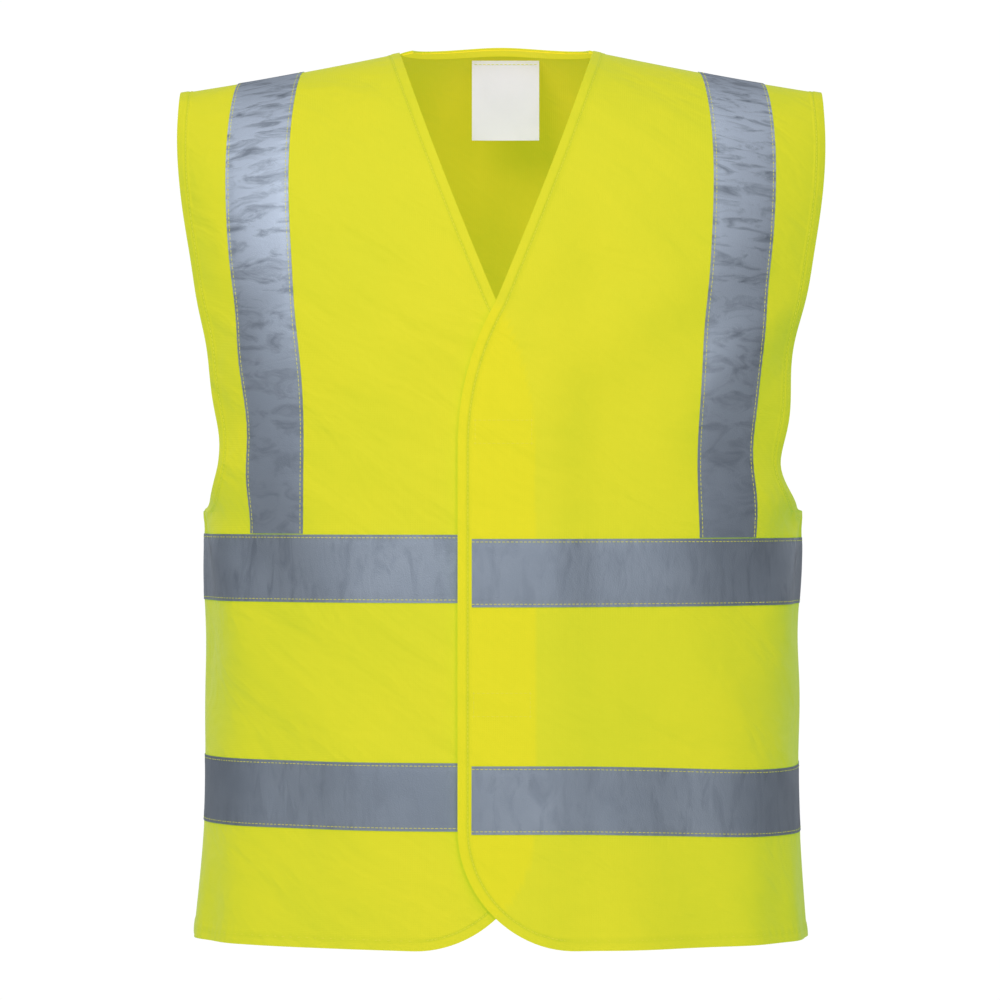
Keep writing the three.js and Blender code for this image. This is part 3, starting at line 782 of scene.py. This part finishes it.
def pile_material():
    """Hook and loop pile."""
    material, tree, shader = new_material("hook_and_loop", 0.9, 0.3)
    loops = use_group(tree, KNIT_LOOPS, 1500.0)
    colour = blend_colours(tree, loops.outputs["Shade"], DEEP_PILE, BRIGHT_PILE)
    tree.links.new(colour, shader.inputs["Base Color"])
    # Painted light: the pile glows like the knit.
    glow_with(shader, KNIT_PAINTED_GLOW)
    bump(tree, shader, loops.outputs["Height"], 0.9, 0.0005)
    return material


def label_material():
    material, tree, shader = new_material("label_weave", 0.55)
    weave = use_group(tree, KNIT_LOOPS, 1800.0)
    tone = use_group(tree, HANDLING, 25.0).outputs["Mask"]
    colour = blend_colours(tree, tone, LABEL_SHADE, LABEL_WHITE)
    tree.links.new(colour, shader.inputs["Base Color"])
    bump(tree, shader, weave.outputs["Height"], 0.15, 0.0002)
    return material


knit = knit_material("yellow_knit", WARM_YELLOW, COOL_YELLOW, KNIT_PAINTED_GLOW, True)
# Copies of the knit for the inside of the back and for the back neck binding, which differ only in a warmer,
# stronger painted glow.
inside_knit_painted_glow = knit_material("yellow_knit_back_painted_glow", WARM_YELLOW, COOL_YELLOW, INNER_PAINTED_GLOW, True)
binding_knit_painted_glow = knit_material("yellow_knit_binding_painted_glow", WARM_YELLOW, COOL_YELLOW, BINDING_PAINTED_GLOW)
thread = knit_material("yellow_thread", WARM_THREAD, COOL_THREAD, KNIT_PAINTED_GLOW)
tape = tape_material()
pile = pile_material()
label_white = label_material()


# ---------------------------------------------------------------- placing each front


def hang_front(piece):
    """Bakes a front piece's placement into its mesh."""
    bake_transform(piece)


# ---------------------------------------------------------------- panels

def panel_heights():
    corner = CORNER_HEIGHT * (1 - np.cos(np.linspace(0, math.pi / 2, 26)))
    low = np.linspace(CORNER_HEIGHT, UNDERARM_HEIGHT, 54)[1:]
    scoop = UNDERARM_HEIGHT + ARMHOLE_SCOOP * (1 - np.cos(np.linspace(0, math.pi / 2, 16)))[1:]
    high = np.linspace(UNDERARM_HEIGHT + ARMHOLE_SCOOP, RIDGE, 88)[1:]
    return np.concatenate([corner, low, scoop, high])


def panel_shares(ends, middle, start=0.0):
    """Columns of a panel, close together within its hems."""
    hem_share = 0.036
    hem = np.linspace(0, hem_share, ends)
    inner = np.linspace(hem_share, 1 - hem_share, middle)[1:-1]
    shares = np.concatenate([hem, inner, 1 - hem[::-1]])
    return start + shares * (1 - start)


def bottom_path(start, end, count=300):
    return np.linspace(start, end, count), np.zeros(count)


def front_cloth(label):
    hand = HANDS[label]
    v = panel_heights()[:, None]
    share = panel_shares(15, 132)[None, :]
    theta = mix(angle_at(front_edge_x(hand, v), v), hand * armhole_angle(v), share)
    v = np.broadcast_to(v, theta.shape)
    bottom = bottom_path(lap_angle(hand, CORNER_WIDTH), hand * math.pi / 2)
    paths = [front_edge_path(hand), armhole_path(hand), bottom]
    piece = hemmed(f"{label}_front_cloth", theta, v, FRONT, paths, knit, hand > 0)
    mark(piece, "doubled", over_lap(theta, v) * (hand > 0))
    return piece


def over_lap(theta, v):
    """Where the over front lies on the under front, up to the point of the V: the mask of the painted light
    on the doubled cloth.
    """
    past_edge = half_width(v) * np.sin(theta) - front_edge_x(-1, v)
    return smooth(0.0008, -0.0008, past_edge) * smooth(V_POINT_HEIGHT + 0.003, V_POINT_HEIGHT - 0.007, v)


def back_cloth():
    rows = panel_heights()[:, None] / RIDGE
    share = panel_shares(14, 208, -1.0)[None, :]
    top_x = SHOULDER_HALF_WIDTH * np.sin(share * ARMHOLE_ANGLE)
    top = mix(RIDGE, back_neck_v(top_x), smooth(*BACK_NECK_ROWS, rows))
    v = rows * top
    theta = share * armhole_angle(v)
    paths = [armhole_path(1), armhole_path(-1), back_neck_path(), bottom_path(-math.pi / 2, math.pi / 2, 500)]
    piece = hemmed("back_cloth", theta, v, BACK, paths, inside_knit_painted_glow)
    mark(piece, "doubled", np.zeros_like(theta))
    # The outside faces take the plain knit; the inside faces keep the copy with the warmer painted glow.
    piece.data.materials.append(knit)
    rows, columns = theta.shape
    outside = np.arange(len(piece.data.polygons)) >= (rows - 1) * (columns - 1)
    piece.data.polygons.foreach_set("material_index", outside.astype(np.int32))
    return piece


# ---------------------------------------------------------------- tapes

def tape_relief(from_edge):
    """A shallow groove where a tape is sewn down along its edges."""
    return -TAPE_GROOVE * np.exp(-((from_edge - STITCH_INSET) / GROOVE_REACH) ** 2)


def band(name, side, low, start, end, lifted=False, columns=120):
    share = np.linspace(0, 1, columns)[None, :]
    rise = np.linspace(0, TAPE_WIDTH, 19)[:, None]
    theta = mix(start, end, share) + 0 * rise
    relief = tape_relief(np.minimum(rise, TAPE_WIDTH - rise))
    return lay(name, theta, low(theta) + rise, side, TAPE_LAYER, tape, lifted, relief)


def over_shoulder(name, theta, v, layer, material, relief=0.0):
    """A strip that goes up the front and down the back, from the grid of its front half."""
    halves = [
        [on_cloth(theta, v, side, offset) for side in (FRONT, BACK)]
        for offset in (layer[0], layer[1] + relief)
    ]
    inner, outer = (np.concatenate([front, back[::-1][1:]]) for front, back in halves)
    uv_front = np.stack([v, theta * CHEST_HALF_WIDTH], -1)
    uv_back = np.stack([2 * RIDGE - v, theta * CHEST_HALF_WIDTH], -1)
    return closed_sheet(name, inner, outer, np.concatenate([uv_front, uv_back[::-1][1:]]), material)


def brace(label):
    v = np.linspace(UPPER_TAPE[label] + TAPE_WIDTH + BRACE_CLEARANCE, RIDGE, 170)[:, None]
    middle, half = brace_angle(v)
    across = np.linspace(-1, 1, 19)[None, :]
    theta = HANDS[label] * (middle + half * across)
    relief = tape_relief((1 - np.abs(across)) * TAPE_WIDTH / 2)
    return over_shoulder(f"{label}_brace", theta, np.broadcast_to(v, theta.shape), TAPE_LAYER, tape, relief)


# ---------------------------------------------------------------- hems and seams

def hem_grid(path, side, turn):
    """The hem's inner strip, from a grid of paths that run along its edge."""
    grid = [inset(*path, side, distance, turn) for distance in np.linspace(HEM_START, HEM_WIDTH, 5)]
    return tuple(np.stack(values, 1) for values in zip(*grid))


def front_hem(label):
    hand = HANDS[label]
    theta, v = hem_grid(front_edge_path(hand, 0.0, RIDGE - HEM_TOP_CLEARANCE), FRONT, -hand)
    return lay(f"{label}_edge_hem", theta, np.maximum(v, HEM_START), FRONT, HEM_LAYER, knit, hand > 0)


def armhole_hem(label):
    hand = HANDS[label]
    theta, v = hem_grid(armhole_path(hand), FRONT, hand)
    v[-1] = RIDGE
    return over_shoulder(f"{label}_armhole_binding", theta, v, HEM_LAYER, knit)


def bottom_hem(name, side, start, end, lifted=False):
    share = np.linspace(0, 1, 160)[None, :]
    rise = np.linspace(HEM_START, HEM_WIDTH, 5)[:, None]
    theta = mix(start, end, share) + 0 * rise
    return lay(name, theta, rise + 0 * theta, side, HEM_LAYER, knit, lifted)


def back_neck_hem():
    theta, v = hem_grid(back_neck_path(), BACK, 1)
    return lay("back_neck_binding", theta, v, BACK, HEM_LAYER, binding_knit_painted_glow)


def shoulder_turn(x, distance):
    """Height on the cloth at a distance in front of the shoulder seam."""
    depth = HALF_DEPTH * np.cos(angle_at(x, RIDGE)) ** SIDE_ROUNDNESS
    return RIDGE + distance * TURN_RISE / depth


def seam_rib(name, theta, v, run):
    """An overlocked seam allowance inside the cloth, rippled along its run."""
    ripple = RIB_RIPPLE * np.sin(run * 2 * math.pi / RIPPLE_PITCH) + 0 * theta
    return lay(name, theta, v, FRONT, SEAM_LAYER, thread, relief=ripple)


def seam_ribs(label):
    """Seam allowances down the side and along the shoulder."""
    hand = HANDS[label]
    around = np.linspace(-0.5, 0.5, 7)[None, :] * SEAM_WIDTH
    up = np.linspace(0.0005, UNDERARM_HEIGHT - 0.001, 150)[:, None]
    theta = hand * (math.pi / 2 + around / CHEST_HALF_WIDTH) + 0 * up
    side_rib = seam_rib(f"{label}_side_rib", theta, up + 0 * theta, up)
    x = np.linspace(*SHOULDER_RIB_X, 90)[:, None]
    v = shoulder_turn(x, around)
    shoulder_rib = seam_rib(f"{label}_shoulder_rib", hand * angle_at(x, RIDGE) + 0 * v, v, x)
    return side_rib, shoulder_rib


# ---------------------------------------------------------------- patches and label

def patch_start(height):
    """Where a patch begins, just inside the hem of the lap."""
    return CLOSURE_X - float(front_lap(height + PATCH_WIDTH / 2)) + HEM_WIDTH + PATCH_SETBACK


def patch(name, height, layer):
    v = height + PATCH_WIDTH * np.linspace(-0.5, 0.5, 16)[:, None]
    x = patch_start(height) + PATCH_LENGTH * np.linspace(0, 1, 34)[None, :]
    theta = angle_at(x, v)
    return lay(name, theta, np.broadcast_to(v, theta.shape), FRONT, layer, pile)


def patch_outline(height):
    """Four straight rows of stitching, just inside a patch's edge."""
    left = patch_start(height) + PATCH_STITCH
    right = left + PATCH_LENGTH - 2 * PATCH_STITCH
    reach = PATCH_WIDTH / 2 - PATCH_STITCH
    low, high = height - reach, height + reach
    corners = [(left, low), (right, low), (right, high), (left, high), (left, low)]
    rows = []
    for (x0, v0), (x1, v1) in zip(corners, corners[1:]):
        v = np.linspace(v0, v1, 30)
        rows.append((angle_at(np.linspace(x0, x1, 30), v), v))
    return rows


def neck_label():
    """A woven label that hangs plumb from its sewn top edge."""
    low, high = LABEL_BOX
    width, length = high[0] - low[0], high[2] - low[2]
    middle_x, middle_y = (low[0] + high[0]) / 2, (low[1] + high[1]) / 2
    bpy.ops.object.select_all(action="DESELECT")
    bpy.ops.mesh.primitive_grid_add(x_subdivisions=40, y_subdivisions=48, size=1)
    piece = bpy.context.object
    piece.name = "woven_label"
    uv = piece.data.uv_layers.active
    uv.name = "cloth"
    for vertex in piece.data.vertices:
        x, down = vertex.co.x, 0.5 - vertex.co.y
        curl = LABEL_BOW * down ** 2 - LABEL_CURL * math.cos(x * math.pi * 1.2) * down
        vertex.co = (middle_x + x * width, middle_y - curl, high[2] - down * length)
    for loop in piece.data.loops:
        place = piece.data.vertices[loop.vertex_index].co
        uv.data[loop.index].uv = (place.x, place.z)
    wall = piece.modifiers.new("wall", "SOLIDIFY")
    wall.thickness = LABEL_THICKNESS
    wall.offset = 0
    bpy.ops.object.modifier_apply(modifier=wall.name)
    piece.data.materials.append(label_white)
    finish_shading(piece)
    return piece


def label_row():
    """The row of stitching that holds the label by its top edge, and its normals."""
    low, high = LABEL_BOX
    x = np.linspace(low[0] + LABEL_STITCH, high[0] - LABEL_STITCH, 40)
    y = np.full_like(x, (low[1] + high[1]) / 2 - 0.0004)
    row = np.stack([x, y, np.full_like(x, high[2] - LABEL_STITCH)], -1)
    return row, np.tile((0.0, -1.0, 0.0), (len(row), 1))


# ---------------------------------------------------------------- stitching

def stitch_shape():
    """One stitch, modelled at unit size."""
    bpy.ops.object.select_all(action="DESELECT")
    bpy.ops.mesh.primitive_uv_sphere_add(segments=6, ring_count=5, radius=1)
    shape = bpy.context.object
    points = np.array([v.co for v in shape.data.vertices])[:, [2, 0, 1]]
    triangles = []
    for face in shape.data.polygons:
        corners = list(face.vertices)
        triangles += [[corners[0], corners[i], corners[i + 1]] for i in range(1, len(corners) - 1)]
    bpy.data.objects.remove(shape)
    return points, np.array(triangles)


STITCH_POINTS, STITCH_FACES = stitch_shape()


def stitches(name, rows):
    """One piece of many stitches along rows of 3-D points with normals."""
    points, faces = [], []
    size = np.array([STITCH_LENGTH / 2, THREAD_RADIUS, THREAD_RADIUS])
    count = 0
    for path, normals in rows:
        shares = resample(path, STITCH_PITCH)
        at = np.stack([along(path[:, k], shares) for k in range(3)], -1)
        up = np.stack([along(normals[:, k], shares) for k in range(3)], -1)
        run = np.gradient(at, axis=0)
        run = run / np.linalg.norm(run, axis=-1, keepdims=True)
        side = np.cross(up, run)
        side = side / np.linalg.norm(side, axis=-1, keepdims=True)
        frames = np.stack([run, side, np.cross(run, side)], 1)
        grains = at[:, None, :] + (STITCH_POINTS * size) @ frames
        points.append(grains.reshape(-1, 3))
        start = count + np.arange(len(at)) * len(STITCH_POINTS)
        faces.append((STITCH_FACES[None] + start[:, None, None]).reshape(-1, 3))
        count += len(at) * len(STITCH_POINTS)
    points, faces = np.concatenate(points), np.concatenate(faces)
    uv = points[:, [0, 2]]
    return mesh_piece(name, points, faces, uv, thread)


def row_on(path, side, offset, lifted=False):
    theta, v = (np.asarray(values, float) for values in path)
    return on_cloth(theta, v, side, offset, lifted), outward(theta, v, side)


def band_rows(side, lows, start, end, lifted=False):
    theta = np.linspace(start, end, 260)
    rows = []
    for low in lows:
        for rise in (STITCH_INSET, TAPE_WIDTH - STITCH_INSET):
            rows.append(row_on((theta, low(theta) + rise), side, ON_TAPE, lifted))
    return rows


def brace_rows(label, side):
    v = np.linspace(UPPER_TAPE[label] + TAPE_WIDTH + 0.002, RIDGE, 260)
    middle, half = brace_angle(v)
    share = 1 - STITCH_INSET / (TAPE_WIDTH / 2)
    return [row_on((HANDS[label] * (middle + half * edge), v), side, ON_TAPE) for edge in (-share, share)]


def front_rows(label):
    hand = HANDS[label]
    lifted = hand > 0
    edge = front_edge_path(hand, 0.0006, RIDGE - 0.004)
    rows = [row_on(inset(*edge, FRONT, HEM_STITCH, -hand), FRONT, ON_KNIT, lifted)]
    theta = np.linspace(lap_angle(hand, CORNER_WIDTH), hand * (math.pi / 2 - 0.02), 260)
    rows.append(row_on((theta, np.full_like(theta, HEM_STITCH)), FRONT, ON_KNIT, lifted))
    first = lap_angle(hand, HEM_WIDTH + BAND_STITCH_START, 0.3)
    lows = [low_of(low, hand) for low in tape_lows(FRONT)]
    rows += band_rows(FRONT, lows, first, hand * (math.pi / 2 - 0.01), lifted)
    if lifted:
        for height in PATCH_HEIGHTS.values():
            rows += [row_on(path, FRONT, KNIT[1], True) for path in patch_outline(height)]
    return rows


def armhole_rows(side):
    rows = []
    for hand in (1, -1):
        theta, v = inset(*armhole_path(hand), side, HEM_STITCH, -side * hand)
        keep = v < RIDGE - SHOULDER_STITCH
        rows.append(row_on((theta[keep], v[keep]), side, ON_KNIT))
    return rows


def shoulder_row(hand):
    """Stitching just behind a shoulder seam."""
    x = np.linspace(*SHOULDER_STITCH_X, 60)
    return row_on((hand * angle_at(x, RIDGE), shoulder_turn(x, -SHOULDER_STITCH)), BACK, KNIT[1])


def body_rows():
    rows = armhole_rows(FRONT) + armhole_rows(BACK)
    for label in HANDS:
        rows += brace_rows(label, FRONT) + brace_rows(label, BACK)
    reach = math.pi / 2 - 0.01
    rows += band_rows(BACK, tape_lows(BACK), -reach, reach)
    theta = np.linspace(-reach, reach, 400)
    rows.append(row_on((theta, np.full_like(theta, HEM_STITCH)), BACK, ON_KNIT))
    rows.append(row_on(inset(*back_neck_path(), BACK, HEM_STITCH), BACK, ON_KNIT))
    return rows + [shoulder_row(hand) for hand in HANDS.values()]


# ---------------------------------------------------------------- putting the vest together


def build_front(label):
    hand = HANDS[label]
    lifted = hand > 0
    cloth = front_cloth(label)
    hem = front_hem(label)
    corner = lap_angle(hand, CORNER_WIDTH + 0.001)
    bottom = bottom_hem(f"{label}_bottom_hem", FRONT, corner, hand * SIDE_HEM_END, lifted)
    first = lap_angle(hand, HEM_WIDTH + BAND_SETBACK, 0.3)
    bands = [
        band(f"{level}_band_{label}", FRONT, low_of(low, hand), first, hand * math.pi / 2, lifted)
        for level, low in zip(("upper", "lower"), tape_lows(FRONT))
    ]
    rows = stitches(f"{label}_front_stitching", front_rows(label))
    for piece in (cloth, hem, bottom, *bands, rows):
        hang_front(piece)
    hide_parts(f"{label}_side_panel", f"{label}_front_panel")
    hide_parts(f"front_hem_{label}", f"neckline_hem_{label}")
    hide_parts(f"bottom_hem_{label}_front", f"bottom_hem_{label}_side")
    for piece, level in zip(bands, ("upper", "lower")):
        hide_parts(f"{level}_tape_{label}_front", f"{level}_tape_{label}_side")


def side_pieces(label):
    """The armhole binding and the seam ribs of one side."""
    binding = armhole_hem(label)
    side_rib, shoulder_rib = seam_ribs(label)
    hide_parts(f"{label}_armhole_hem")
    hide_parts(f"side_seam_{label}")
    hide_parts(f"shoulder_seam_{label}")
    return [binding, side_rib, shoulder_rib]


def build_body():
    cloth = back_cloth()
    reach = math.pi / 2
    hem = bottom_hem("back_hem", BACK, -SIDE_HEM_END, SIDE_HEM_END)
    binding = back_neck_hem()
    rows = stitches("body_stitching", body_rows())
    upper_low, lower_low = tape_lows(BACK)
    tapes = {
        "upper_tape_back": band("upper_band_back", BACK, upper_low, -reach, reach, columns=220),
        "lower_tape_back": band("lower_band_back", BACK, lower_low, -reach, reach, columns=220),
        "left_brace_tape": brace("left"),
        "right_brace_tape": brace("right"),
    }
    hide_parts("back_panel")
    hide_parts("back_bottom_hem")
    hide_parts("back_neck_hem")
    knits = [cloth, hem, binding, rows]
    for label in HANDS:
        knits += side_pieces(label)
    for piece in knits:
        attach(piece, BODY)
    for node, piece in tapes.items():
        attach(piece, BODY)
        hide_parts(node)


def build_patches():
    for level, height in PATCH_HEIGHTS.items():
        for kind, layer, label in (("hook", HOOK_LAYER, "left"), ("loop", LOOP_LAYER, "right")):
            piece = patch(f"{level}_{kind}_pile", height, layer)
            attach(piece, f"{label}_front")
            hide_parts(f"{level}_{kind}_patch")


def build_label():
    piece = neck_label()
    sewn = stitches("label_stitching", [label_row()])
    for part in (piece, sewn):
        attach(part, "label")
    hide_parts("neck_label")


# ---------------------------------------------------------------- studio

def studio_floor():
    bpy.ops.object.select_all(action="DESELECT")
    place = (0, 0, HEM_Z - FLOOR_DROP)
    bpy.ops.mesh.primitive_circle_add(vertices=96, radius=FLOOR_RADIUS, fill_type="NGON", location=place)
    floor = bpy.context.object
    floor.name = "studio_floor"
    bpy.ops.object.transform_apply(location=True)
    material, _, shader = new_material("pale_floor", 0.9)
    shader.inputs["Base Color"].default_value = (0.88, 0.88, 0.87, 1)
    glow_with(shader, (1, 1, 0.99), FLOOR_GLOW)
    floor.data.materials.append(material)


def softbox(name, place, size, watts, target):
    light = bpy.data.lights.new(name, "AREA")
    light.shape = "SQUARE"
    light.size = size
    light.energy = watts
    holder = bpy.data.objects.new(name, light)
    bpy.context.scene.collection.objects.link(holder)
    holder.location = place
    holder.rotation_euler = (Vector(target) - Vector(place)).to_track_quat("-Z", "Y").to_euler()


def studio_light():
    world = bpy.data.worlds.new("studio")
    world.use_nodes = True
    tree = world.node_tree
    sky = tree.nodes["Background"]
    sky.inputs["Color"].default_value = (1, 1, 1, 1)
    seen = tree.nodes.new("ShaderNodeLightPath").outputs["Is Camera Ray"]
    backdrop = maths(tree, "MULTIPLY", seen, BACKDROP_SEEN)
    tree.links.new(maths(tree, "ADD", backdrop, BACKDROP_LIGHT), sky.inputs["Strength"])
    bpy.context.scene.world = world
    for box in SOFTBOXES:
        softbox(*box)
    bpy.context.scene.view_settings.view_transform = "Standard"


def studio_camera():
    data = bpy.data.cameras.new("camera")
    data.lens = CAMERA_LENS
    data.sensor_width = 36
    camera = bpy.data.objects.new("camera", data)
    bpy.context.scene.collection.objects.link(camera)
    camera.location = (CAMERA_X, -CAMERA_DISTANCE, CAMERA_HEIGHT - CARRY_HEIGHT)
    camera.rotation_euler = (math.pi / 2, 0, 0)
    bpy.context.scene.camera = camera


studio_camera()
studio_light()
studio_floor()
build_body()
for label in HANDS:
    build_front(label)
build_patches()
build_label()
